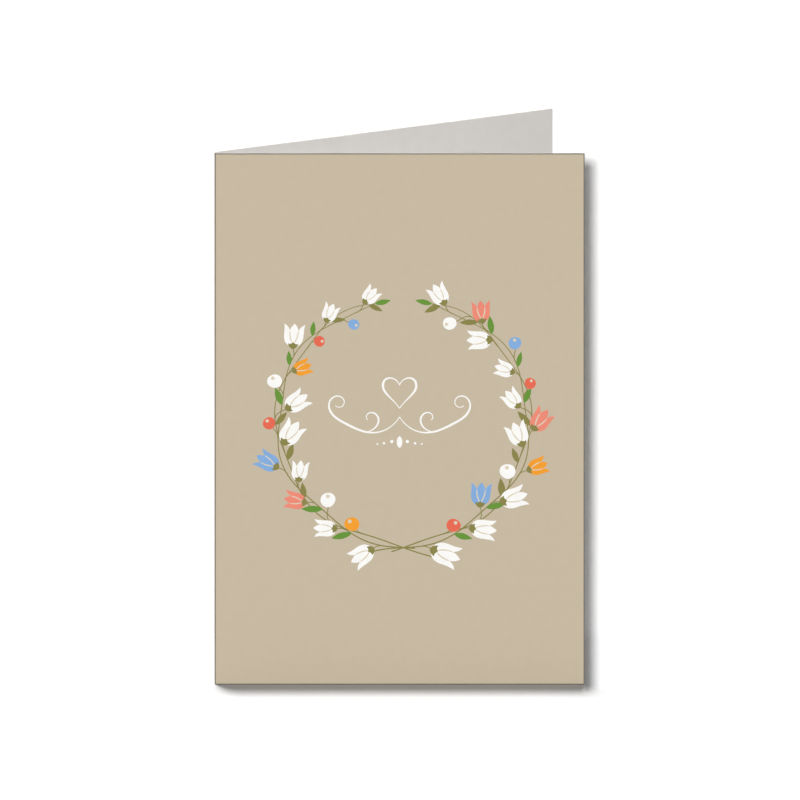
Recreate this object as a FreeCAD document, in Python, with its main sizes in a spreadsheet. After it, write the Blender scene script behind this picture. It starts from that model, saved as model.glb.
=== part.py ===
import FreeCAD, Part
import Sketcher
import math
import os

from FreeCAD import Vector

# A greeting card: one sheet of stiff board, creased down the middle and folded once.
# It stands half open on its lower edges, with the printed front panel facing -Y,
# the fold upright on the left and the back panel swinging away behind the front.
# Lengths are in millimetres and angles in degrees. The origin lies on the table,
# under the middle of the standing card's outline, and +Z is up.

# Driving sizes: alias, value, what it measures
SIZES = (
    ("card_width", 100.0, "closed card, from the outside of the fold to the fore edge"),
    ("card_height", 150.0, "closed card, along the fold"),
    ("board_thickness", 0.4, "stiff card board of about 350 g per square metre"),
    ("bead_radius", 0.2, "ridge that the creasing rule raises along the inside of the fold"),
    ("bead_gap", 0.1, "left on each side of the ridge when the card is closed"),
    ("opening_angle", 24.0, "between the two panels as the card stands"),
)
CARD_NAME = "folded_card"

# The folding sizes, from the driving ones. The inside of the fold clears the ridge,
# and the board bends round it. Each panel is flat from the fold to its fore edge.
INSIDE_RADIUS = "(sizes.bead_radius + sizes.bead_gap)"
OUTSIDE_RADIUS = f"({INSIDE_RADIUS} + sizes.board_thickness)"
PANEL_LENGTH = f"(sizes.card_width - {OUTSIDE_RADIUS})"
OPENING = "(sizes.opening_angle * 1 deg)"

ORIGIN_POINT = (-1, 1)  # the sketch's own origin, which is the centre of the fold
START, END, CENTRE = 1, 2, 3  # a line's or an arc's points, as sketches number them


def write_sizes(document):
    """Puts the driving sizes into a spreadsheet, one aliased cell each."""
    sheet = document.addObject("Spreadsheet::Sheet", "sizes")
    for row, (alias, value, note) in enumerate(SIZES, start=1):
        sheet.set(f"A{row}", alias)
        sheet.set(f"B{row}", str(value))
        sheet.setAlias(f"B{row}", alias)
        sheet.set(f"C{row}", note)
    document.recompute()
    return sheet


def origin_plane(body, role):
    """One of the body's own base planes, such as XY_Plane."""
    return next(f for f in body.Origin.OriginFeatures if f.Role == role)


def polar(radius, angle):
    """A point in the section at that distance from the centre of the fold."""
    return Vector(radius * math.cos(angle), radius * math.sin(angle), 0)


def arc(centre, radius, first, last):
    """A round stretch, anticlockwise from the first angle to the last."""
    circle = Part.Circle(centre, Vector(0, 0, 1), radius)
    return Part.ArcOfCircle(circle, first, last)


def draw_section(section, sheet):
    """The folded board seen from above: two flat panels joined by the crease.

    The fold's centre is the section's origin. The front panel runs to the right,
    and the back panel runs to the right too, turned up by the opening angle.
    """
    opening = math.radians(sheet.opening_angle)
    inside = sheet.bead_radius + sheet.bead_gap
    outside = inside + sheet.board_thickness
    length = sheet.card_width - outside

    front_side = 1.5 * math.pi  # from the centre of the fold square to the front panel
    back_side = 0.5 * math.pi + opening  # and square to the back panel
    fold_side = (front_side + back_side) / 2  # and to the middle of the crease
    along_back = polar(length, opening)
    along_front = Vector(length, 0, 0)

    front_outer = polar(outside, front_side)
    front_inner = polar(inside, front_side)
    back_outer = polar(outside, back_side)
    back_inner = polar(inside, back_side)

    ridge = polar(inside, fold_side)
    half_ridge = 2 * math.asin(sheet.bead_radius / (2 * inside))
    ridge_back = polar(inside, fold_side - half_ridge) - ridge
    ridge_front = polar(inside, fold_side + half_ridge) - ridge

    add = section.addGeometry
    outer_front = add(Part.LineSegment(front_outer + along_front, front_outer))
    outer_fold = add(arc(Vector(), outside, back_side, front_side))
    outer_back = add(Part.LineSegment(back_outer, back_outer + along_back))
    edge_back = add(Part.LineSegment(back_outer + along_back, back_inner + along_back))
    inner_back = add(Part.LineSegment(back_inner + along_back, back_inner))
    fold_back = add(arc(Vector(), inside, back_side, fold_side - half_ridge))
    bead = add(
        arc(
            ridge,
            sheet.bead_radius,
            math.atan2(ridge_front.y, ridge_front.x),
            math.atan2(ridge_back.y, ridge_back.x),
        )
    )
    fold_front = add(arc(Vector(), inside, fold_side + half_ridge, front_side))
    inner_front = add(Part.LineSegment(front_inner, front_inner + along_front))
    edge_front = add(Part.LineSegment(front_inner + along_front, front_outer + along_front))
    crease_line = add(Part.LineSegment(Vector(), ridge), True)

    def fix(name, *what):
        """Adds a constraint under a name of its own."""
        section.renameConstraint(section.addConstraint(Sketcher.Constraint(*what)), name)

    # The panels run smoothly into the crease, and meet their cut edges at corners
    fix("front_into_fold", "Tangent", outer_front, END, outer_fold, END)
    fix("fold_into_back", "Tangent", outer_fold, START, outer_back, START)
    fix("back_outer_corner", "Coincident", outer_back, END, edge_back, START)
    fix("back_inner_corner", "Coincident", edge_back, END, inner_back, START)
    fix("back_into_crease", "Tangent", inner_back, END, fold_back, START)
    fix("bead_back_foot", "Coincident", fold_back, END, bead, END)
    fix("bead_front_foot", "Coincident", bead, START, fold_front, START)
    fix("crease_into_front", "Tangent", fold_front, END, inner_front, START)
    fix("front_inner_corner", "Coincident", inner_front, END, edge_front, START)
    fix("front_outer_corner", "Coincident", edge_front, END, outer_front, START)

    # The round stretches share the fold's centre, and the bead sits in mid crease
    fix("outer_centre", "Coincident", outer_fold, CENTRE, *ORIGIN_POINT)
    fix("back_centre", "Coincident", fold_back, CENTRE, *ORIGIN_POINT)
    fix("front_centre", "Coincident", fold_front, CENTRE, *ORIGIN_POINT)
    fix("crease_from_centre", "Coincident", crease_line, START, *ORIGIN_POINT)
    fix("bead_on_crease", "Coincident", bead, CENTRE, crease_line, END)

    fix("front_faces_out", "Horizontal", outer_front)
    fix("front_even", "Horizontal", inner_front)
    fix("back_even", "Parallel", outer_back, inner_back)
    fix("front_cut_square", "Vertical", edge_front)
    fix("back_cut_square", "Perpendicular", outer_back, edge_back)
    fix("panels_match", "Equal", outer_front, outer_back)
    fix("crease_round", "Equal", fold_back, fold_front)

    driven = (
        ("panel_length", PANEL_LENGTH, ("Distance", outer_front, length)),
        ("outside_radius", OUTSIDE_RADIUS, ("Radius", outer_fold, outside)),
        ("inside_radius", INSIDE_RADIUS, ("Radius", fold_back, inside)),
        ("crease_depth", INSIDE_RADIUS, ("Distance", crease_line, inside)),
        ("bead_radius", "sizes.bead_radius", ("Radius", bead, sheet.bead_radius)),
        ("opening", OPENING, ("Angle", outer_back, opening)),
        ("crease_turn", f"180 deg + {OPENING} / 2", ("Angle", crease_line, fold_side)),
    )
    for name, expression, what in driven:
        fix(name, *what)
        section.setExpression(f"Constraints.{name}", expression)


def build_card(document, sheet):
    """The folded sheet: its section, raised to the height of the card."""
    body = document.addObject("PartDesign::Body", CARD_NAME)
    body.Label = CARD_NAME
    section = body.newObject("Sketcher::SketchObject", "board_section")
    section.AttachmentSupport = (origin_plane(body, "XY_Plane"), [""])
    section.MapMode = "FlatFace"
    draw_section(section, sheet)
    board = body.newObject("PartDesign::Pad", "board_height")
    board.Profile = section
    board.setExpression("Length", "sizes.card_height")

    # From the centre of the fold, the outline reaches this far to each side. A card
    # opened past square has its back panel's fore edge left of the fold.
    turned = f"{PANEL_LENGTH} * cos({OPENING}) - {OUTSIDE_RADIUS} * sin({OPENING})"
    swung = f"{PANEL_LENGTH} * sin({OPENING}) + {OUTSIDE_RADIUS} * cos({OPENING})"
    left = f"min(-{OUTSIDE_RADIUS}; {turned})"
    back = f"max({OUTSIDE_RADIUS}; {swung})"
    body.setExpression("Placement.Base.x", f"-({PANEL_LENGTH} + {left}) / 2")
    body.setExpression("Placement.Base.y", f"-({back} - {OUTSIDE_RADIUS}) / 2")
    return body


def check(document, bodies):
    """Stops before anything is written if an object failed or a shape is bad."""
    for item in document.Objects:
        if "Invalid" in item.State or "Error" in item.State:
            raise RuntimeError(f"{item.Label} is {item.State}")
    for body in bodies:
        if body.Shape.isNull() or not body.Shape.isValid():
            raise RuntimeError(f"{body.Label} has no valid shape")


def report(body, sheet):
    """Prints the card's outline, and its volume beside that of the flat sheet."""
    box = body.Shape.BoundBox
    mid_crease = sheet.bead_radius + sheet.bead_gap + sheet.board_thickness / 2
    outside = mid_crease + sheet.board_thickness / 2
    turn = math.pi - math.radians(sheet.opening_angle)
    flat_width = 2 * (sheet.card_width - outside) + turn * mid_crease
    flat_volume = flat_width * sheet.board_thickness * sheet.card_height
    print(f"{body.Label}: {box.XLength:.3f} x {box.YLength:.3f} x {box.ZLength:.3f}")
    print(f"corner {box.XMin:.3f}, {box.YMin:.3f}, {box.ZMin:.3f}")
    print(f"volume {body.Shape.Volume:.2f}, flat sheet {flat_volume:.2f}")


def main():
    document = FreeCAD.newDocument("greeting_card")
    sheet = write_sizes(document)
    card = build_card(document, sheet)
    document.recompute()
    check(document, [card])
    report(card, sheet)
    os.makedirs("parts", exist_ok=True)
    card.Shape.exportStep(f"parts/{card.Label}.step")


main()
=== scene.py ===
# %% [markdown]
# A greeting card, dressed
#
# The object is one sheet of stiff pale board, printed tan on one side, creased down the
# middle and folded. It stands half open on its lower edges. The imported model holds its
# true form and size. Here the sheet gets its print, its paper and its light.

# %% Load the frame
import math
import random

import bmesh
import bpy
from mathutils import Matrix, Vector
from mathutils.geometry import interpolate_bezier


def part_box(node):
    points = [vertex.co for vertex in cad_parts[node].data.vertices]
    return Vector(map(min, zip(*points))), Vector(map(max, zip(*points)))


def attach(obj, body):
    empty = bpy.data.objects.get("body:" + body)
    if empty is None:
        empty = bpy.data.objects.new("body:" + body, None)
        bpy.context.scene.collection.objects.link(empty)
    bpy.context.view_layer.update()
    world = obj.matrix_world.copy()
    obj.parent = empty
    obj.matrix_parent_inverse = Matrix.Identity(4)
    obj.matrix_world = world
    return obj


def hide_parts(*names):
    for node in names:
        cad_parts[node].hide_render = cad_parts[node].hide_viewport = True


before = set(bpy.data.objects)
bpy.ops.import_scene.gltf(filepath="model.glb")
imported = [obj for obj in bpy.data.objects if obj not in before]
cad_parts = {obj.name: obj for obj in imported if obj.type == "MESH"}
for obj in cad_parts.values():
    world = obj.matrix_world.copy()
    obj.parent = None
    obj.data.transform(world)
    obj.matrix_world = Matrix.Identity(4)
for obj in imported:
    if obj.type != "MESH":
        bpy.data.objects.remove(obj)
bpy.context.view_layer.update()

# %% [markdown]
# Measures first
#
# On the real card a few sizes settle all the rest: the closed card's width and height, the
# board's thickness and how far it stands open. Typing the place of each piece by hand would
# be quick at first and wrong after the first change. So everything is worked out from the
# box of the folded card and these few sizes. Blender counts in metres, so MM turns
# millimetres into metres.

# %% The card's measures
MM = 0.001
card_low, card_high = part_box("folded_card")
CARD_WIDTH = card_high.x - card_low.x
CARD_HEIGHT = card_high.z - card_low.z
BOARD = 0.4 * MM
BEAD_RADIUS = 0.2 * MM
BEAD_GAP = 0.1 * MM
FOLD_INSIDE = BEAD_RADIUS + BEAD_GAP
FOLD_OUTSIDE = FOLD_INSIDE + BOARD
PANEL = CARD_WIDTH - FOLD_OUTSIDE
OPENING = math.radians(24)
print(f"card {CARD_WIDTH / MM:.1f} x {CARD_HEIGHT / MM:.1f} mm, panels {PANEL / MM:.2f} mm")

# %% [markdown]
# A map from the flat sheet to the standing card
#
# A printer lays the ink on a flat sheet, and only then is it creased and folded. A bend
# modifier could fold a flat model in the same way, but every piece would need its own, set
# alike. Here one function does the folding: it takes a place on the flat sheet and gives
# the place on the standing card. The print and the board both go through it, so the ink
# follows the board round the fold by itself.

# %% Fold a place on the sheet
fold_centre = Vector((card_low.x + FOLD_OUTSIDE, card_low.y + FOLD_OUTSIDE, 0))
FRONT_SIDE = math.radians(270)
BACK_SIDE = math.radians(90) + OPENING
CREASE_SIDE = (FRONT_SIDE + BACK_SIDE) / 2
HALF_TURN = (FRONT_SIDE - BACK_SIDE) / 2
HALF_CREASE = HALF_TURN * FOLD_OUTSIDE


def heading(angle):
    """The level direction at that angle from +X."""
    return Vector((math.cos(angle), math.sin(angle), 0))


def on_card(across, up, lift=0.0):
    """Where a point of the sheet lies on the standing card.

    across runs over the outer face from the middle of the crease: forwards onto the front
    panel, and backwards, below zero, onto the back panel. lift is how far the point stands
    proud of the outer face, and below zero it lies inside the board.
    """
    turn = max(-HALF_TURN, min(HALF_TURN, across / FOLD_OUTSIDE))
    flat = abs(across) - HALF_CREASE
    place = fold_centre + (FOLD_OUTSIDE + lift) * heading(CREASE_SIDE + turn)
    if flat > 0:
        place += flat * heading(0 if across > 0 else OPENING)
    return place + Vector((0, 0, up))


def at_lift(lift):
    """The face that stands so far proud of the outer face, as a map from sheet to card."""
    return lambda across, up: on_card(across, up, lift)


def on_front(across, up, lift):
    """A place on the front panel, measured from its lower left corner."""
    return on_card(across - FOLD_OUTSIDE + HALF_CREASE, up, lift)


EDGE = HALF_CREASE + PANEL
back_corner = on_card(-EDGE, 0) - card_low
depth = card_high.y - card_low.y
print(f"back corner at depth {back_corner.y / MM:.3f} of {depth / MM:.3f} mm")

# %% [markdown]
# Colours
#
# Printers choose colours from a chart, where each channel runs from 0 to 255 as on a
# screen. Blender reckons with light, in linear values, so that two lamps add up as real
# ones do. The colours could be typed in linear values at once, but a chart's numbers are
# easier to read and to check. One small function turns the one into the other.

# %% Turn a chart's colour into light
def linear(share):
    """One channel of a colour on a screen, 0 to 1, as the linear value that Blender uses."""
    return share / 12.92 if share < 0.04045 else ((share + 0.055) / 1.055) ** 2.4


def colour(red, green, blue):
    """A colour given as on a colour chart, each channel from 0 to 255, in linear values."""
    return tuple(linear(value / 255) for value in (red, green, blue))


print("middle grey:", ", ".join(f"{value:.3f}" for value in colour(119, 119, 119)))

# %% [markdown]
# Paper
#
# Uncoated board is matt. Its surface is a felt of fibres: seen close it has a fine grain
# that catches the light, and the colour drifts very slightly from place to place. An
# image of paper would do, but a noise in the object's own coordinates needs no file, has
# the right scale everywhere and doesn't stretch at the fold. One function makes every
# material of the card, and the inks differ from the bare board by colour and sheen alone.

# %% Make noise for a surface
NOISE_MIDDLE = (0.3, 0.7)


def noise(tree, place, size, detail, stretch=(1, 1, 1)):
    """A noise whose blotches are about size across, as a number from 0 to 1."""
    scaled = tree.nodes.new("ShaderNodeMapping")
    scaled.inputs["Scale"].default_value = stretch
    tree.links.new(place, scaled.inputs["Vector"])
    node = tree.nodes.new("ShaderNodeTexNoise")
    node.inputs["Scale"].default_value = 1 / size
    node.inputs["Detail"].default_value = detail
    tree.links.new(scaled.outputs["Vector"], node.inputs["Vector"])
    return node.outputs["Fac"]


def between(tree, number, low, high):
    """Spreads the middle of a noise over the range from low to high."""
    node = tree.nodes.new("ShaderNodeMapRange")
    node.inputs["From Min"].default_value = NOISE_MIDDLE[0]
    node.inputs["From Max"].default_value = NOISE_MIDDLE[1]
    node.inputs["To Min"].default_value = low
    node.inputs["To Max"].default_value = high
    tree.links.new(number, node.inputs["Value"])
    return node.outputs["Result"]


# %% Make a paper or ink material
FIBRE_CLOUD = 2.6 * MM
CLOUD_DETAIL = 4
FIBRE_GRAIN = 0.32 * MM
GRAIN_DETAIL = 3
GRAIN_STRETCH = (1, 1, 0.7)
GRAIN_RELIEF = 0.02 * MM
GRAIN_STRENGTH = 0.3
PAPER_SHINE = 0.3
BOARD_ROUGHNESS = (0.72, 0.9)


def paper(name, shade, drift, rough=BOARD_ROUGHNESS):
    """A matt paper or print: its colour drifts by a share either way, its grain is raised."""
    material = bpy.data.materials.new(name)
    material.use_nodes = True
    tree = material.node_tree
    shader = tree.nodes["Principled BSDF"]
    shader.inputs["Specular IOR Level"].default_value = PAPER_SHINE
    place = tree.nodes.new("ShaderNodeTexCoord").outputs["Object"]
    cloud = noise(tree, place, FIBRE_CLOUD, CLOUD_DETAIL)
    grain = noise(tree, place, FIBRE_GRAIN, GRAIN_DETAIL, GRAIN_STRETCH)

    tint = tree.nodes.new("ShaderNodeMix")
    tint.data_type = "RGBA"
    tint.inputs["A"].default_value = (*(value * (1 - drift) for value in shade), 1)
    tint.inputs["B"].default_value = (*(min(1, value * (1 + drift)) for value in shade), 1)
    tree.links.new(between(tree, cloud, 0, 1), tint.inputs["Factor"])
    tree.links.new(tint.outputs["Result"], shader.inputs["Base Color"])
    tree.links.new(between(tree, grain, *rough), shader.inputs["Roughness"])

    bump = tree.nodes.new("ShaderNodeBump")
    bump.inputs["Strength"].default_value = GRAIN_STRENGTH
    bump.inputs["Distance"].default_value = GRAIN_RELIEF
    tree.links.new(grain, bump.inputs["Height"])
    tree.links.new(bump.outputs["Normal"], shader.inputs["Normal"])
    return material


# The board's colour is its pale white darkened to a light grey: partly the board's own tone and
# partly painted shade, the grey of its inside in shade.
white_board = paper("white_board", colour(212, 209, 206), drift=0.015)
tan_print = paper("tan_print", colour(200, 186, 162), drift=0.012)
grey_line = paper("grey_line", colour(108, 102, 94), drift=0.02)
print("papers:", ", ".join(material.name for material in bpy.data.materials))

# %% [markdown]
# A plate over the sheet
#
# The board, the coat of ink on it and the line round the front are all plates that cover
# some of the sheet, thick or thin. Thickening a single surface with a modifier would do for
# the flat panels, but the inside of a creased fold isn't an even copy of its outside. So
# each plate is laid out as a grid of places on the sheet, once for the outer face and
# once for the inner one, with walls where the grid ends.

# %% Lay a closed plate over a grid
def piece_from(name, mesh):
    """Turns a finished bmesh into an object of the scene."""
    data = bpy.data.meshes.new(name)
    mesh.to_mesh(data)
    mesh.free()
    made = bpy.data.objects.new(name, data)
    bpy.context.scene.collection.objects.link(made)
    return made


def skin(name, outside, inside, stations, levels, keep=lambda column, row: True):
    """A closed plate between two faces, over a grid of places on the sheet.

    keep says which cells of the grid belong to the plate, so that it may have holes.
    """
    mesh = bmesh.new()
    outer, inner = (
        [[mesh.verts.new(side(across, up)) for up in levels] for across in stations]
        for side in (outside, inside)
    )
    rims = {}
    for column in range(len(stations) - 1):
        for row in range(len(levels) - 1):
            if not keep(column, row):
                continue
            corners = [(column, row), (column + 1, row), (column + 1, row + 1), (column, row + 1)]
            for grid in (outer, inner):
                mesh.faces.new([grid[c][r] for c, r in corners])
            for rim in zip(corners, corners[1:] + corners[:1]):
                key = frozenset(rim)
                rims[key] = None if key in rims else rim
    for (c, r), (next_c, next_r) in filter(None, rims.values()):
        wall = (outer[c][r], inner[c][r], inner[next_c][next_r], outer[next_c][next_r])
        mesh.faces.new(wall)
    mesh.verts.ensure_lookup_table()
    loose = [vertex for vertex in mesh.verts if not vertex.link_faces]
    bmesh.ops.delete(mesh, geom=loose, context="VERTS")
    bmesh.ops.recalc_face_normals(mesh, faces=mesh.faces)
    return piece_from(name, mesh)


# %% Finish a piece
SHARP_ANGLE = math.radians(30)


def finished(made, material):
    """Gives a piece its material and its place on the card."""
    made.data.materials.append(material)
    made.data.polygons.foreach_set("use_smooth", [True] * len(made.data.polygons))
    made.data.set_sharp_from_angle(angle=SHARP_ANGLE)
    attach(made, "root")
    print(f"{made.name}: {len(made.data.polygons)} faces")
    return made


# %% [markdown]
# The board
#
# The sheet has the real thickness of card board. Where it is creased, the rule of the
# press leaves a small round ridge inside the fold. A plain arc there would be simpler, but
# the ridge is what makes a crease look pressed and not bent. It is laid out as a part of
# the inner face, point for point behind the arc of the outer one.

# %% Lay out the board
CREASE_STEPS = 32
BEAD_TURN = 2 * math.asin(BEAD_RADIUS / (2 * FOLD_INSIDE))
BEAD_SWEEP = math.radians(90) - BEAD_TURN / 2
INK_GROUND = 0.02 * MM


def inside_of_board(across, up):
    """The point of the inner face that lies behind a place on the outer face."""
    turn = across / FOLD_OUTSIDE
    if abs(turn) >= BEAD_TURN:
        return on_card(across, up, -BOARD)
    ridge = fold_centre + FOLD_INSIDE * heading(CREASE_SIDE)
    round_ridge = CREASE_SIDE + math.pi - BEAD_SWEEP * turn / BEAD_TURN
    return ridge + BEAD_RADIUS * heading(round_ridge) + Vector((0, 0, up))


def spaced(first, last, steps):
    """Evenly spaced numbers from first to last, both included."""
    return [first + (last - first) * i / steps for i in range(steps + 1)]


crease = spaced(-HALF_CREASE, HALF_CREASE, CREASE_STEPS)
whole_sheet = [-EDGE, *crease, EDGE]
whole_height = [0, CARD_HEIGHT]
under_ink = at_lift(-INK_GROUND / 2)
board = skin("card_board", under_ink, inside_of_board, whole_sheet, whole_height)
finished(board, white_board)
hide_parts("folded_card")

# %% [markdown]
# The cut edges
#
# A guillotine leaves a crisp edge, but never a perfect knife edge: the blade presses the
# fibres over by a few hundredths of a millimetre. That tiny round is what catches the
# light along the rim of a real card. It could be laid out in the grid as well. A bevel
# that acts only on square corners makes it in a few lines, and leaves the smooth crease
# alone.

# %% Ease the cut edges
EASED_WIDTH = 0.04 * MM
NEARLY_SQUARE = math.radians(80)

eased = board.modifiers.new("pressed_edge", "BEVEL")
eased.width = EASED_WIDTH
eased.segments = 2
eased.limit_method = "ANGLE"
eased.angle_limit = NEARLY_SQUARE
print(f"edges eased by {EASED_WIDTH / MM:.2f} mm")

# %% [markdown]
# The tan ground
#
# The outside is printed edge to edge, round the fold and over the back, and the inside
# stays bare. Painting half the board with a second material would leave the colour's
# edge to the renderer. A coat of ink is a thin layer on the board, so it is made as one:
# at the cut edges the pale core shows beside it, as it does on real card.

# %% Coat the outside
ground = skin("tan_ground", at_lift(0), at_lift(-INK_GROUND), whole_sheet, whole_height)
finished(ground, tan_print)

# %% [markdown]
# The line round the front
#
# A fine grey line runs round the front panel, right at its edges. A darker border in the
# tan ground's own material would need a mask, and would blur when it is seen close. The
# line is printed too, so it is a thin plate with a hole as large as the panel less the
# line. On the left it lies on the rounded fold, where it takes a few more steps to follow
# the curve.

# %% Draw the line
LINE_WIDTH = 0.28 * MM
LINE_LIFT = 0.006 * MM
LINE_DEPTH = INK_GROUND / 4
FOLD_STEPS = 8
HOLE_ROW = 1

silhouette = (math.pi - CREASE_SIDE) * FOLD_OUTSIDE
line_turn = math.acos(1 - LINE_WIDTH / FOLD_OUTSIDE)
line_end = silhouette + line_turn * FOLD_OUTSIDE
fold_line = spaced(silhouette, line_end, FOLD_STEPS)
rest_of_crease = [across for across in crease if across > line_end]
stations = fold_line + rest_of_crease + [EDGE - LINE_WIDTH, EDGE]
levels = [0, LINE_WIDTH, CARD_HEIGHT - LINE_WIDTH, CARD_HEIGHT]


def in_line(column, row):
    """Whether a cell of the grid is in the line, and not in the hole that it runs round."""
    return row != HOLE_ROW or column < FOLD_STEPS or column == len(stations) - 2


keyline = skin(
    "grey_keyline", at_lift(LINE_LIFT), at_lift(-LINE_DEPTH), stations, levels, keep=in_line
)
finished(keyline, grey_line)

# %% [markdown]
# The picture on the front
#
# A greeting card carries a picture. This one is a wreath of the kind that printers have
# always had: two branches bent into a ring, crossed at the foot, with buds, berries and
# leaves. It could be an image on the panel, but an image blurs when it is seen close.
# Here each motif is an outline of smooth curves, as in a drawing program, so its edge
# stays sharp at any distance. The outlines are drawn flat, in metres on the front panel.

# %% Draw with curves
CURVE_STEPS = 12


def path(*spans):
    """A line through Bezier spans of four points, each starting where the last ended."""
    line = [Vector(spans[0][0])]
    for span in spans:
        line += interpolate_bezier(*(Vector(point) for point in span), CURVE_STEPS)[1:]
    return line


def mirrored(half):
    """Closes an outline whose right half runs from its foot up to its tip."""
    return half + [Vector((-point.x, point.y)) for point in reversed(half[1:-1])]


def stroke(line, width_at):
    """The outline of a pen's stroke. width_at gives its width from start, 0, to end, 1."""
    left = []
    right = []
    for number, point in enumerate(line):
        before = line[max(number - 1, 0)]
        after = line[min(number + 1, len(line) - 1)]
        along = (after - before).normalized()
        across = Vector((-along.y, along.x)) * width_at(number / (len(line) - 1)) / 2
        left.append(point + across)
        right.append(point - across)
    return left + right[::-1]


# %% [markdown]
# The motifs
#
# A printer's ornament is cut once and used many times. Each motif here stands upright on
# its foot and is one unit long, so that one drawing serves for every size. A bud shows
# three petals. Only its right half is drawn, and the left is its mirror image, so that it
# can't come out lopsided. The berry is a circle, so a formula makes it.

# %% Draw the motifs
BERRY_STEPS = 28
SHINE_SIZE = 0.26
SHINE_FOOT = 0.62

BUD = mirrored(
    path(
        ((0, 0), (0.20, -0.02), (0.40, 0.14), (0.41, 0.40)),
        ((0.41, 0.40), (0.42, 0.60), (0.37, 0.80), (0.44, 0.99)),
        ((0.44, 0.99), (0.31, 0.94), (0.22, 0.84), (0.18, 0.70)),
        ((0.18, 0.70), (0.16, 0.83), (0.09, 0.96), (0, 1.05)),
    )
)
BUD_FOLD = path(((0.03, 0.16), (0.12, 0.30), (0.18, 0.48), (0.18, 0.70)))
CUP = mirrored(
    path(
        ((0, -0.10), (0.08, -0.09), (0.17, -0.03), (0.22, 0.14)),
        ((0.22, 0.14), (0.13, 0.10), (0.07, 0.13), (0, 0.20)),
    )
)
LEAF = mirrored(path(((0, 0), (0.12, 0.10), (0.30, 0.45), (0, 1))))
berry_turns = (math.tau * i / BERRY_STEPS for i in range(BERRY_STEPS))
BERRY = [Vector((0.5 * math.sin(turn), 0.5 - 0.5 * math.cos(turn))) for turn in berry_turns]
SHINE = [point * SHINE_SIZE + Vector((0, SHINE_FOOT)) for point in BERRY]
print(f"a bud has {len(BUD)} points, a leaf {len(LEAF)} and a berry {len(BERRY)}")

# %% [markdown]
# Drawn by hand
#
# Nobody draws the same bud twice. Copies of one bud would look stamped, and drawing every
# one from nothing would take long. So each is made a little fuller on one side and a
# little slimmer on another, with numbers from a seeded generator: the same seed gives the
# same picture each time. The shapes are gathered under the names of their inks, and are
# printed together further down.

# %% Draw each motif anew
HAND_SEED = 11
OVAL_SWELL = 0.03
CORNER_SWELL = 0.02

hand = random.Random(HAND_SEED)
shapes = {}


def draw(name, outline):
    """Adds an outline to the shapes that are printed together."""
    shapes.setdefault(name, []).append(outline)


def placed(outline, foot, towards, length):
    """A motif with its foot at a place, pointing a way, and as long as wanted."""
    along = towards.normalized() * length
    across = Vector((along.y, -along.x))
    return [foot + across * point.x + along * point.y for point in outline]


def wobbled(outline):
    """The same motif as an unsteady hand would draw it."""
    middle = sum(outline, Vector((0, 0))) / len(outline)
    turn = hand.uniform(0, math.tau)
    drawn = []
    for point in outline:
        arm = point - middle
        angle = math.atan2(arm.y, arm.x)
        swell = OVAL_SWELL * math.sin(2 * angle + turn) + CORNER_SWELL * math.sin(3 * angle)
        drawn.append(middle + arm * (1 + swell))
    return drawn


# %% [markdown]
# Places on the ring
#
# The wreath is wound on a ring. Every piece of it could be placed by its own two numbers
# on the panel, but a wreath maker thinks along the ring: how far up, and how far in or out.
# A place is given by its turn, which is zero at the foot and grows up either side, so that
# one set of formulas serves both branches.

# %% Find a place by the ring
WREATH_MIDDLE = Vector((0.51 * CARD_WIDTH, 0.496 * CARD_HEIGHT))
WREATH_RADIUS = 34 * MM
SIDES = (-1, 1)


def outwards(side, turn):
    """The way out from the ring's middle. side is -1 on the left and 1 on the right."""
    return Vector((side * math.sin(turn), -math.cos(turn)))


def on_ring(side, turn, out):
    """A place by the ring, so far outside it."""
    return WREATH_MIDDLE + (WREATH_RADIUS + out) * outwards(side, turn)


def leaning(side, turn, lean):
    """The way up along the ring there, turned outwards by an angle."""
    up_ring = Vector((side * math.cos(turn), math.sin(turn)))
    return up_ring * math.cos(lean) + outwards(side, turn) * math.sin(lean)


# %% [markdown]
# The branches
#
# Each branch is two thin strands that wind about the ring and meet at the tip, high up on
# their side. Their tails run on past the foot of the wreath, where the two branches cross.
# A curve with a round bevel would make wires of them. A pen's stroke is flat and gets
# slimmer towards its end, so they are drawn as strokes.

# %% Run the branches
TWINE = 0.9 * MM
TWINE_KNOTS = 6
TAIL = 5.5 * MM
TAIL_FADE = math.radians(13)
BRANCH_FOOT = math.radians(-15)
SHORT_FOOT = BRANCH_FOOT / 3
BRANCH_TIP = math.radians(167)
BRANCH_STEPS = 90
BRANCH_WIDTHS = (0.36 * MM, 0.2 * MM)


def winding(turn, strand):
    """How far a strand, 1 or -1, lies outside the ring."""
    tail = TAIL * math.exp((BRANCH_FOOT - turn) / TAIL_FADE)
    return tail + strand * TWINE * math.sin(math.pi * TWINE_KNOTS * turn / BRANCH_TIP)


def taper(first, last):
    """A width that changes evenly from the start of a stroke to its end."""
    return lambda share: first + (last - first) * share


for side in SIDES:
    for strand in SIDES:
        first = BRANCH_FOOT if strand == side else SHORT_FOOT
        turns = spaced(first, BRANCH_TIP, BRANCH_STEPS)
        line = [on_ring(side, turn, winding(turn, strand)) for turn in turns]
        draw("olive_branches", stroke(line, taper(*BRANCH_WIDTHS)))
print(f"branches: {len(shapes['olive_branches'])} strands")

# %% [markdown]
# Buds, berries and leaves
#
# A head is a bud or a berry on a short curved stalk. A bud is a white or coloured shape
# with two folds between its petals and an olive cup at its foot, and a berry has a spot of
# light on it. Each could be one drawing in several colours, but a press prints one ink at
# a time, and so the shapes of a head go to the inks they belong to.

# %% Draw a head
BUD_LENGTH = 6.6 * MM
BERRY_LENGTH = 4.0 * MM
FOLD_ENDS = 0.035
FOLD_SWELL = 0.02


def fold_width(share):
    """How wide a petal's fold is, in lengths of the bud: it swells in its middle."""
    return FOLD_ENDS + FOLD_SWELL * math.sin(math.pi * share)


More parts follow.
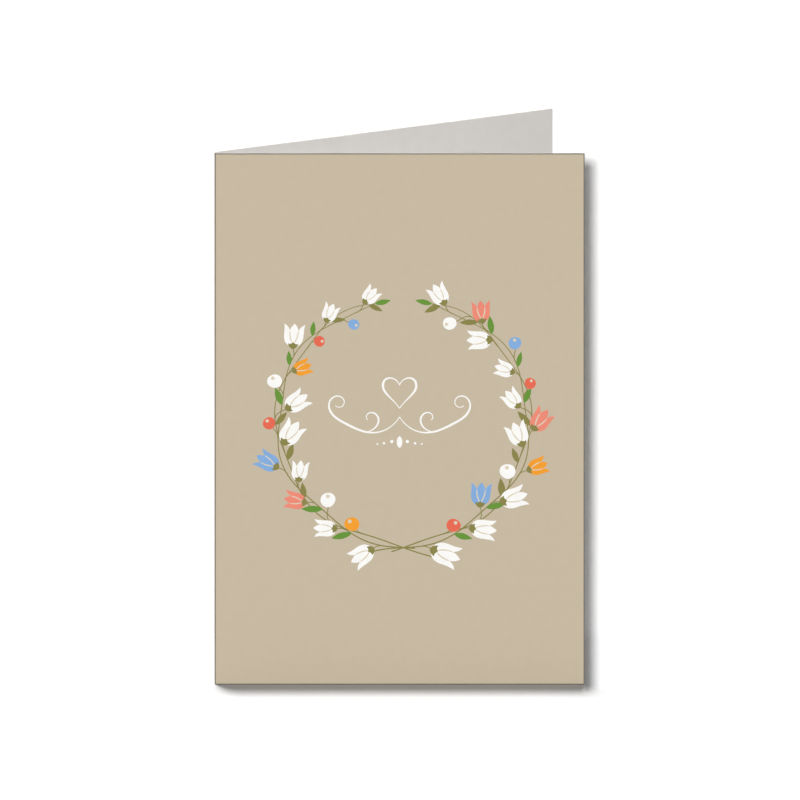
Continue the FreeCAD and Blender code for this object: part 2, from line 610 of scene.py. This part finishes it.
def draw_head(name, foot, towards, size):
    """A bud with its folds and its cup, or a berry with a spot of light on it."""
    if name.endswith("berries"):
        length = BERRY_LENGTH * size
        draw(name, placed(wobbled(BERRY), foot, towards, length))
        draw("cream_shines", placed(SHINE, foot, towards, length))
        return
    length = BUD_LENGTH * size
    draw(name, placed(wobbled(BUD), foot, towards, length))
    draw("olive_cups", placed(CUP, foot, towards, length))
    for side in SIDES:
        fold = [Vector((side * point.x, point.y)) for point in BUD_FOLD]
        draw("cream_folds", placed(stroke(fold, fold_width), foot, towards, length))


# %% Draw a stalk and a leaf
STALK_START = math.radians(5.5)
STALK_LEAVES = 2.2 * MM
STALK_ARRIVES = 1.2 * MM
STALK_IN_CUP = 0.4 * MM
STALK_WIDTHS = (0.26 * MM, 0.22 * MM)
LEAF_LENGTH = 5.6 * MM


def draw_stalk(side, turn, outward, foot, towards):
    """A curved stalk that leaves the branch lower down and ends in a head's foot."""
    start_turn = turn - STALK_START
    start = on_ring(side, start_turn, winding(start_turn, outward))
    leave = start + leaning(side, turn, 0) * STALK_LEAVES
    arrive = foot - towards * STALK_ARRIVES
    line = path((start, leave, arrive, foot + towards * STALK_IN_CUP))
    draw("olive_stalks", stroke(line, taper(*STALK_WIDTHS)))


def draw_leaf(name, side, turn, strand, lean, length):
    """A pointed leaf that grows straight from a strand of the branch."""
    foot = on_ring(side, turn, winding(turn, strand))
    draw(name, placed(wobbled(LEAF), foot, leaning(side, turn, lean), length))


# %% [markdown]
# Setting the heads
#
# Along each branch stand seventeen heads, by turns outside and inside the ring. Most are
# white, with blue, orange, coral and red ones between them, in a different order on the
# two sides. Strewing them at random would leave clumps and gaps, so their order is chosen
# and only their size, step and lean are left to chance. The branches get slimmer towards
# their tips, and so do the heads.

# %% Choose the heads
LEFT_HEADS = (
    "white_buds", "orange_berries", "white_buds", "white_berries", "coral_buds",
    "white_buds", "blue_buds", "white_buds", "red_berries", "white_buds",
    "white_berries", "orange_buds", "white_buds", "red_berries", "white_buds",
    "blue_berries", "white_buds",
)
RIGHT_HEADS = (
    "white_buds", "red_berries", "white_buds", "blue_buds", "white_buds",
    "white_berries", "orange_buds", "white_buds", "coral_buds", "white_buds",
    "red_berries", "white_buds", "blue_berries", "white_buds", "coral_buds",
    "white_berries", "white_buds",
)
print(f"heads: {len(LEFT_HEADS)} on the left, {len(RIGHT_HEADS)} on the right")

# %% Set the heads and leaves along the branches
FIRST_HEAD = math.radians(13)
HEAD_STEP = math.radians(9.3)
HEAD_LEAN = math.radians(38)
HEAD_OUT = 1.6 * MM
TIP_SIZE = 0.8
SIZE_SPREAD = 0.14
STEP_SPREAD = 0.12
LEAN_SPREAD = math.radians(10)
LEAF_PATTERN = (1, 3, 4)
LEAF_REPEAT = 5
LEAF_LEANS = (math.radians(28), math.radians(46))
LEAF_AHEAD = math.radians(1.5)

for side, heads in zip(SIDES, (LEFT_HEADS, RIGHT_HEADS)):
    for number, name in enumerate(heads):
        outward = 1 if number % 2 == 0 else -1
        size = 1 - (1 - TIP_SIZE) * number / (len(heads) - 1)
        size *= hand.uniform(1 - SIZE_SPREAD, 1 + SIZE_SPREAD)
        turn = FIRST_HEAD + HEAD_STEP * (number + hand.uniform(-STEP_SPREAD, STEP_SPREAD))
        lean = outward * (HEAD_LEAN + hand.uniform(-LEAN_SPREAD, LEAN_SPREAD))
        foot = on_ring(side, turn, winding(turn, 1) + outward * HEAD_OUT)
        towards = leaning(side, turn, lean)
        draw_stalk(side, turn, outward, foot, towards)
        draw_head(name, foot, towards, size)
        if number % LEAF_REPEAT in LEAF_PATTERN:
            leaves = "green_leaves" if number % 2 else "olive_leaves"
            leaf_lean = -outward * hand.uniform(*LEAF_LEANS)
            leaf_turn = turn + LEAF_AHEAD
            draw_leaf(leaves, side, leaf_turn, -outward, leaf_lean, LEAF_LENGTH * size)
    draw_leaf("green_leaves", side, BRANCH_TIP, 1, 0, LEAF_LENGTH * TIP_SIZE)
print("wreath:", ", ".join(f"{len(drawn)} {name}" for name, drawn in shapes.items()))

# %% [markdown]
# The flourish
#
# In the middle of the wreath stands a penman's flourish: a heart over two scrolls, with a
# row of drops below. A broad pen makes a hairline when it starts and swells as it is
# pressed. A scroll could be pinned down by many points, but it is a line whose bend grows
# evenly along it, so a few lengths and bends describe it better. Only the right half is
# worked out.

# %% Make a pen for the flourish
FLOURISH_MIDDLE = Vector((0.5 * CARD_WIDTH, 0.508 * CARD_HEIGHT))
HAIRLINE = 0.22 * MM
SCROLL_STEPS = 4


def swelling(body):
    """A pen's width: a hairline at both ends of the stroke and full in its middle."""
    return lambda share: HAIRLINE + (body - HAIRLINE) * math.sin(math.pi * share) ** 2


def scroll(start, angle, bend, legs):
    """A line in millimetres whose bend changes evenly along each leg.

    A bend is in radians to the millimetre. A leg is its length and the bend at its end.
    """
    point = Vector(start)
    line = [point.copy()]
    for length, last_bend in legs:
        steps = round(length * SCROLL_STEPS)
        for number in range(steps):
            share = (number + 0.5) / steps
            angle += (bend + (last_bend - bend) * share) * length / steps
            point += Vector((math.cos(angle), math.sin(angle))) * length / steps
            line.append(point.copy())
        bend = last_bend
    return line


def pen(line, width_at):
    """Draws a line in millimetres, and its mirror image on the left."""
    for side in SIDES:
        points = [FLOURISH_MIDDLE + MM * Vector((side * point.x, point.y)) for point in line]
        draw("white_flourish", stroke(points, width_at))


# %% Draw the heart and the scrolls
FULL_PEN = 0.62 * MM
FINE_PEN = 0.5 * MM
HEART_SIZE = 4.6
HEART_RISE = Vector((0, 6.4))
HEART = path(
    ((0, 0.42), (0.16, 0.98), (0.98, 1.06), (0.98, 0.40)),
    ((0.98, 0.40), (0.98, -0.10), (0.34, -0.42), (0, -1.0)),
)
GREAT_START = (0, -0.6)
GREAT_ANGLE = math.radians(-60)
GREAT_BEND = 0.09
GREAT_LEGS = ((8, 0.14), (9, 0), (7, 0.3), (10, 0.8))
SMALL_START = (9.6, -5.0)
SMALL_ANGLE = math.radians(172)
SMALL_BEND = -0.1
SMALL_LEGS = ((4, -0.3), (4, -0.5), (4, -1.0))

pen([point * HEART_SIZE + HEART_RISE for point in HEART], swelling(FULL_PEN))
pen(scroll(GREAT_START, GREAT_ANGLE, GREAT_BEND, GREAT_LEGS), swelling(FULL_PEN))
pen(scroll(SMALL_START, SMALL_ANGLE, SMALL_BEND, SMALL_LEGS), swelling(FINE_PEN))
print(f"flourish: {len(shapes['white_flourish'])} strokes")

# %% Set the drops under the flourish
UPWARDS = Vector((0, 1))
DROP = mirrored(path(((0, 0), (0.3, 0.2), (0.3, 0.8), (0, 1))))
DROP_FOOT = -9.4
DROP_LENGTH = 3.4 * MM
# Each dot: how far across, how far up and how wide it is, in millimetres.
DOTS = ((2.1, -8.0, 0.9), (4.2, -8.4, 0.7), (6.0, -8.5, 0.5))

foot = FLOURISH_MIDDLE + Vector((0, DROP_FOOT)) * MM
draw("white_flourish", placed(DROP, foot, UPWARDS, DROP_LENGTH))
for across, up, width in DOTS:
    for side in SIDES:
        foot = FLOURISH_MIDDLE + Vector((side * across, up)) * MM
        draw("white_flourish", placed(BERRY, foot, UPWARDS, width * MM))
print(f"flourish: {len(shapes['white_flourish'])} strokes and drops")

# %% [markdown]
# Inks, one after another
#
# A press lays its colours down in turn, and a later ink covers an earlier one. One plate
# with many colours would have to be cut where shapes overlap. So each kind of shape is
# printed at a chosen height instead, from the branches up to the cups. The films are thicker
# than real ink, which is only a few thousandths of a millimetre, and still far too thin
# to be seen from the side. Each outline becomes a closed plate that starts inside the tan
# ground. Shapes of one ink also differ a trace in height, so that two that cross never
# lie in the same plane.

# %% Mix the inks
HEIGHTS = {
    "branches": 0.010 * MM,
    "stalks": 0.014 * MM,
    "flourish": 0.020 * MM,
    "leaves": 0.028 * MM,
    "berries": 0.034 * MM,
    "buds": 0.040 * MM,
    "shines": 0.048 * MM,
    "folds": 0.048 * MM,
    "cups": 0.064 * MM,
}
INKS = {
    "olive": colour(133, 128, 68),
    "green": colour(98, 143, 50),
    "white": colour(252, 251, 248),
    "cream": colour(222, 210, 186),
    "blue": colour(131, 172, 220),
    "orange": colour(243, 158, 40),
    "coral": colour(237, 138, 117),
    "red": colour(231, 103, 78),
}
INK_DRIFT = 0.03
INK_ROUGHNESS = (0.6, 0.82)

inks = {name: paper(f"{name}_ink", shade, INK_DRIFT, INK_ROUGHNESS) for name, shade in INKS.items()}
print("inks:", ", ".join(inks))

# %% Print the shapes
OVERPRINT = 0.0003 * MM


def printed(name, outlines, height, ink):
    """Closed plates of ink on the front panel, one for each outline."""
    mesh = bmesh.new()
    for number, outline in enumerate(outlines):
        top = height + number * OVERPRINT
        below = [mesh.verts.new(on_front(point.x, point.y, -INK_GROUND / 2)) for point in outline]
        above = [mesh.verts.new(on_front(point.x, point.y, top)) for point in outline]
        mesh.faces.new(below)
        mesh.faces.new(above)
        for i in range(len(outline)):
            mesh.faces.new((below[i - 1], below[i], above[i], above[i - 1]))
    bmesh.ops.recalc_face_normals(mesh, faces=mesh.faces)
    flats = [face for face in mesh.faces if len(face.verts) > 4]
    bmesh.ops.triangulate(mesh, faces=flats)
    return finished(piece_from(name, mesh), ink)


for name, outlines in shapes.items():
    ink_name, kind = name.split("_")
    printed(name, outlines, HEIGHTS[kind], inks[ink_name])

# %% [markdown]
# Light
#
# Four distant lamps and an even sky. Area lamps close by would be softer, but their light
# would fall off across the card, and a distant lamp lights it evenly. The key light stands
# in front, a little to the left and a little above the camera: it lights the print, and
# throws the narrow shadow on the wall. The inside light shines in between the panels from
# the right, where the key light doesn't reach. The top light hangs nearly overhead and
# makes the short shade at the foot. The back light is for whoever looks at the card from
# behind.

# %% Make a lamp
def way_to(from_left, height):
    """The way to a lamp, turned to the left of the viewer's side and raised by a height."""
    level = Vector((-math.sin(from_left), -math.cos(from_left), 0))
    return level * math.cos(height) + Vector((0, 0, math.sin(height)))


def lamp(name, brightness, from_left, height, spread):
    """A distant soft lamp, its angles in degrees.

    Its brightness is what white paper square to it returns.
    """
    data = bpy.data.lights.new(name, "SUN")
    data.energy = brightness * math.pi
    data.angle = math.radians(spread)
    made = bpy.data.objects.new(name, data)
    way = way_to(math.radians(from_left), math.radians(height))
    made.rotation_euler = way.to_track_quat("Z", "Y").to_euler()
    bpy.context.scene.collection.objects.link(made)
    print(f"{name}: {from_left} degrees to the left, {height} degrees high")
    return made


# %% Hang the lamps
key_light = lamp("key_light", brightness=0.842, from_left=3.55, height=19.6, spread=5)
inside_light = lamp("inside_light", brightness=1.15, from_left=-72, height=35, spread=20)
top_light = lamp("top_light", brightness=2.1, from_left=163, height=86.7, spread=3.8)
lamp("back_light", brightness=0.5, from_left=156, height=30, spread=20)

# %% [markdown]
# Flags
#
# A studio keeps a lamp off what it isn't meant for with flags, which are boards on stands.
# Real boards would show in the side views here. Light linking does the same without them:
# a lamp has a list of what it lights, and the rest still casts its shadow. So the pale
# board is left to the inside light and the print to the key light, and each colour comes
# out about as it is written.

# %% Flag the lamps
def flagged(made, pieces, state="INCLUDE"):
    """Flags a lamp, so that it lights only these pieces, or with EXCLUDE all but these."""
    chosen = bpy.data.collections.new(f"{made.name}_flags")
    for piece in pieces:
        chosen.objects.link(piece)
    for member in chosen.collection_objects:
        member.light_linking.link_state = state
    made.light_linking.receiver_collection = chosen
    print(f"{made.name}: {state.lower()} {', '.join(piece.name for piece in pieces)}")


flagged(key_light, [board], "EXCLUDE")
flagged(inside_light, [board])

# %% [markdown]
# The sky
#
# A studio's pale walls send a little light from all sides, which keeps the shadows open.
# To the camera the same sky has to be plain white. A brighter sky would give that, and
# would wash out the card as well. So the world has two skies, and the kind of ray decides
# between them: a ray that comes from the camera, straight or through gloss or glass, meets
# the white one, and every other ray the dim one.

# %% Light the sky
SKY = 0.2


def seen_by_camera(tree):
    """One for a ray from the camera, straight or through gloss or glass, and else zero."""
    rays = tree.nodes.new("ShaderNodeLightPath")
    seen = rays.outputs["Is Camera Ray"]
    for kind in ("Is Glossy Ray", "Is Transmission Ray"):
        either = tree.nodes.new("ShaderNodeMath")
        either.operation = "MAXIMUM"
        tree.links.new(seen, either.inputs[0])
        tree.links.new(rays.outputs[kind], either.inputs[1])
        seen = either.outputs[0]
    return seen


def mixed(tree, factor, first, second):
    """The first shader where factor is zero and the second where it is one."""
    node = tree.nodes.new("ShaderNodeMixShader")
    tree.links.new(factor, node.inputs["Fac"])
    tree.links.new(first, node.inputs[1])
    tree.links.new(second, node.inputs[2])
    return node.outputs[0]


world = bpy.data.worlds.new("studio")
bpy.context.scene.world = world
world.use_nodes = True
studio = world.node_tree
sky = studio.nodes["Background"]
sky.inputs["Color"].default_value = (1, 1, 1, 1)
sky.inputs["Strength"].default_value = SKY
white = studio.nodes.new("ShaderNodeBackground")
white.inputs["Color"].default_value = (1, 1, 1, 1)
shown = mixed(studio, seen_by_camera(studio), sky.outputs[0], white.outputs[0])
studio.links.new(shown, studio.nodes["World Output"].inputs["Surface"])
print(f"sky: {SKY} to the card, white to the camera")

# %% [markdown]
# Floor and wall
#
# The card stands on a pale floor with a pale wall close behind it. Both are only there
# for the picture. The camera sees them bright enough to come out white, and still dark
# where the card's shadow falls. Light that bounces off them finds plain grey paint, so that
# they don't light the card from below. Seen from behind they are clear, so that the card's
# back can be looked at too.

# %% Paint a sheet of the stage
STAGE_REACH = 2.0


def bare_material(name):
    """A material with nothing but its output, and the tree of its nodes."""
    material = bpy.data.materials.new(name)
    material.use_nodes = True
    tree = material.node_tree
    tree.nodes.remove(tree.nodes["Principled BSDF"])
    return material, tree


def show(tree, shader):
    """Makes a shader the surface of its material."""
    tree.links.new(shader, tree.nodes["Material Output"].inputs["Surface"])


def diffuse(tree, white):
    """Plain paint."""
    node = tree.nodes.new("ShaderNodeBsdfDiffuse")
    node.inputs["Color"].default_value = (white, white, white, 1)
    return node.outputs[0]


def stage_paint(name, grey, lit):
    """Plain paint, grey to the card and white to the camera, and clear from behind."""
    material, tree = bare_material(name)
    paint = mixed(tree, seen_by_camera(tree), diffuse(tree, grey), diffuse(tree, lit))
    clear = tree.nodes.new("ShaderNodeBsdfTransparent")
    behind = tree.nodes.new("ShaderNodeNewGeometry")
    show(tree, mixed(tree, behind.outputs["Backfacing"], paint, clear.outputs[0]))
    return material


def stage_sheet(name, corners, material):
    """One flat sheet of the stage, from the corners of its outline."""
    data = bpy.data.meshes.new(name)
    data.from_pydata(corners, [], [range(len(corners))])
    data.materials.append(material)
    made = bpy.data.objects.new(name, data)
    bpy.context.scene.collection.objects.link(made)
    return made


def for_the_camera_alone(made):
    """Hides a sheet from every ray but those that the camera sends."""
    made.visible_diffuse = False
    made.visible_glossy = False
    made.visible_shadow = False


# %% [markdown]
# A slot in the floor
#
# The shadow falls on the wall behind the card, and would end there at the floor, a little
# above the card's foot as the camera sees it. Moving the wall to the foot isn't possible,
# because the back panel stands there. So a narrow slot is cut in the floor, beside the
# front panel's right edge, and a tab of the wall reaches down behind it. Through the slot
# the camera sees the shadow on the wall all the way down to the card's foot, as one even
# band.

# %% Measure the slot
WALL_GAP = 0.5 * MM
SLOT_WIDTH = 5.5 * MM
SLOT_AHEAD = 6.5 * MM
ELEVATION = math.radians(16.9)

foot_line = card_low.y
wall_line = card_high.y + WALL_GAP
slot_left = card_high.x
slot_right = slot_left + SLOT_WIDTH
slot_near = foot_line - SLOT_AHEAD
slot_drop = (wall_line - slot_near) * math.tan(ELEVATION)
print(f"slot {SLOT_WIDTH / MM:.1f} mm wide, the tab behind it {slot_drop / MM:.1f} mm deep")

# %% Lay the floor
FRONT_GREY = 0.06
FRONT_WHITE = 0.39
BACK_GREY = 0.15
BACK_WHITE = 0.44


def floor_sheet(name, far, slot_end, material):
    """The floor from the card's foot line to a far line, less its part of the slot."""
    outline = [
        (-STAGE_REACH, far, 0),
        (-STAGE_REACH, foot_line, 0),
        (slot_left, foot_line, 0),
        (slot_left, slot_end, 0),
        (slot_right, slot_end, 0),
        (slot_right, foot_line, 0),
        (STAGE_REACH, foot_line, 0),
        (STAGE_REACH, far, 0),
    ]
    return stage_sheet(name, outline if far > foot_line else outline[::-1], material)


front_paint = stage_paint("front_floor_paint", FRONT_GREY, FRONT_WHITE)
front_floor = floor_sheet("front_floor", -STAGE_REACH, slot_near, front_paint)
back_paint = stage_paint("back_floor_paint", BACK_GREY, BACK_WHITE)
back_floor = floor_sheet("back_floor", STAGE_REACH, wall_line, back_paint)
flagged(top_light, [front_floor, back_floor])

# %% Hang the wall
WALL_GREY = 0.1
WALL_WHITE = 1.04

wall_outline = [
    (-STAGE_REACH, wall_line, 0),
    (slot_left, wall_line, 0),
    (slot_left, wall_line, -slot_drop),
    (slot_right, wall_line, -slot_drop),
    (slot_right, wall_line, 0),
    (STAGE_REACH, wall_line, 0),
    (STAGE_REACH, wall_line, STAGE_REACH),
    (-STAGE_REACH, wall_line, STAGE_REACH),
]
wall = stage_sheet("wall", wall_outline, stage_paint("wall_paint", WALL_GREY, WALL_WHITE))
for_the_camera_alone(wall)
print(f"wall {WALL_GAP / MM:.1f} mm behind the card")

# %% [markdown]
# A screen under the floor
#
# A camera held very low sends its lowest rays under the floor, where they would meet the
# tab of the wall from below. A floor as thick as the tab is deep would stop them. A white
# screen that hangs from the slot's near side stops them just as well, and is one sheet. It
# glows by itself, since no lamp reaches it there.

# %% Hang the screen
screen_paint, screen_tree = bare_material("screen_paint")
glow = screen_tree.nodes.new("ShaderNodeEmission")
glow.inputs["Color"].default_value = (1, 1, 1, 1)
show(screen_tree, glow.outputs[0])
screen_outline = [
    (-STAGE_REACH, slot_near, -slot_drop),
    (STAGE_REACH, slot_near, -slot_drop),
    (STAGE_REACH, slot_near, 0),
    (-STAGE_REACH, slot_near, 0),
]
screen = stage_sheet("screen", screen_outline, screen_paint)
for_the_camera_alone(screen)
print(f"screen {slot_drop / MM:.1f} mm high")

# %% [markdown]
# Camera
#
# The sides of the front panel stay parallel in the photograph, so a camera with
# perspective would never match it, however far away. An orthographic one keeps parallel
# lines parallel. Its scale comes from how many pixels wide the front panel is, and its
# place from where the panel's middle and foot are.

# %% Place the camera
FRAME_PIXELS = 800
FRONT_PIXELS = 370.1
FRONT_MIDDLE = 399.57
FOOT_PIXEL = 684.6
CAMERA_AWAY = 1.0
SEES_AS_FAR_AS = 10

pixel = CARD_WIDTH / FRONT_PIXELS
lens = bpy.data.cameras.new("camera")
lens.type = "ORTHO"
lens.ortho_scale = FRAME_PIXELS * pixel
lens.clip_end = SEES_AS_FAR_AS
camera = bpy.data.objects.new("camera", lens)
foot = card_low.y * math.sin(ELEVATION)
middle_height = (foot + (FOOT_PIXEL - FRAME_PIXELS / 2) * pixel) / math.cos(ELEVATION)
middle = Vector(((FRAME_PIXELS / 2 - FRONT_MIDDLE) * pixel, 0, middle_height))
away = Vector((0, -math.cos(ELEVATION), math.sin(ELEVATION)))
camera.location = middle + away * CAMERA_AWAY
camera.rotation_euler = away.to_track_quat("Z", "Y").to_euler()
bpy.context.scene.collection.objects.link(camera)
bpy.context.scene.camera = camera
bpy.context.scene.view_settings.view_transform = "Standard"
print(f"camera: {lens.ortho_scale / MM:.1f} mm across, looking at height {middle.z / MM:.1f} mm")
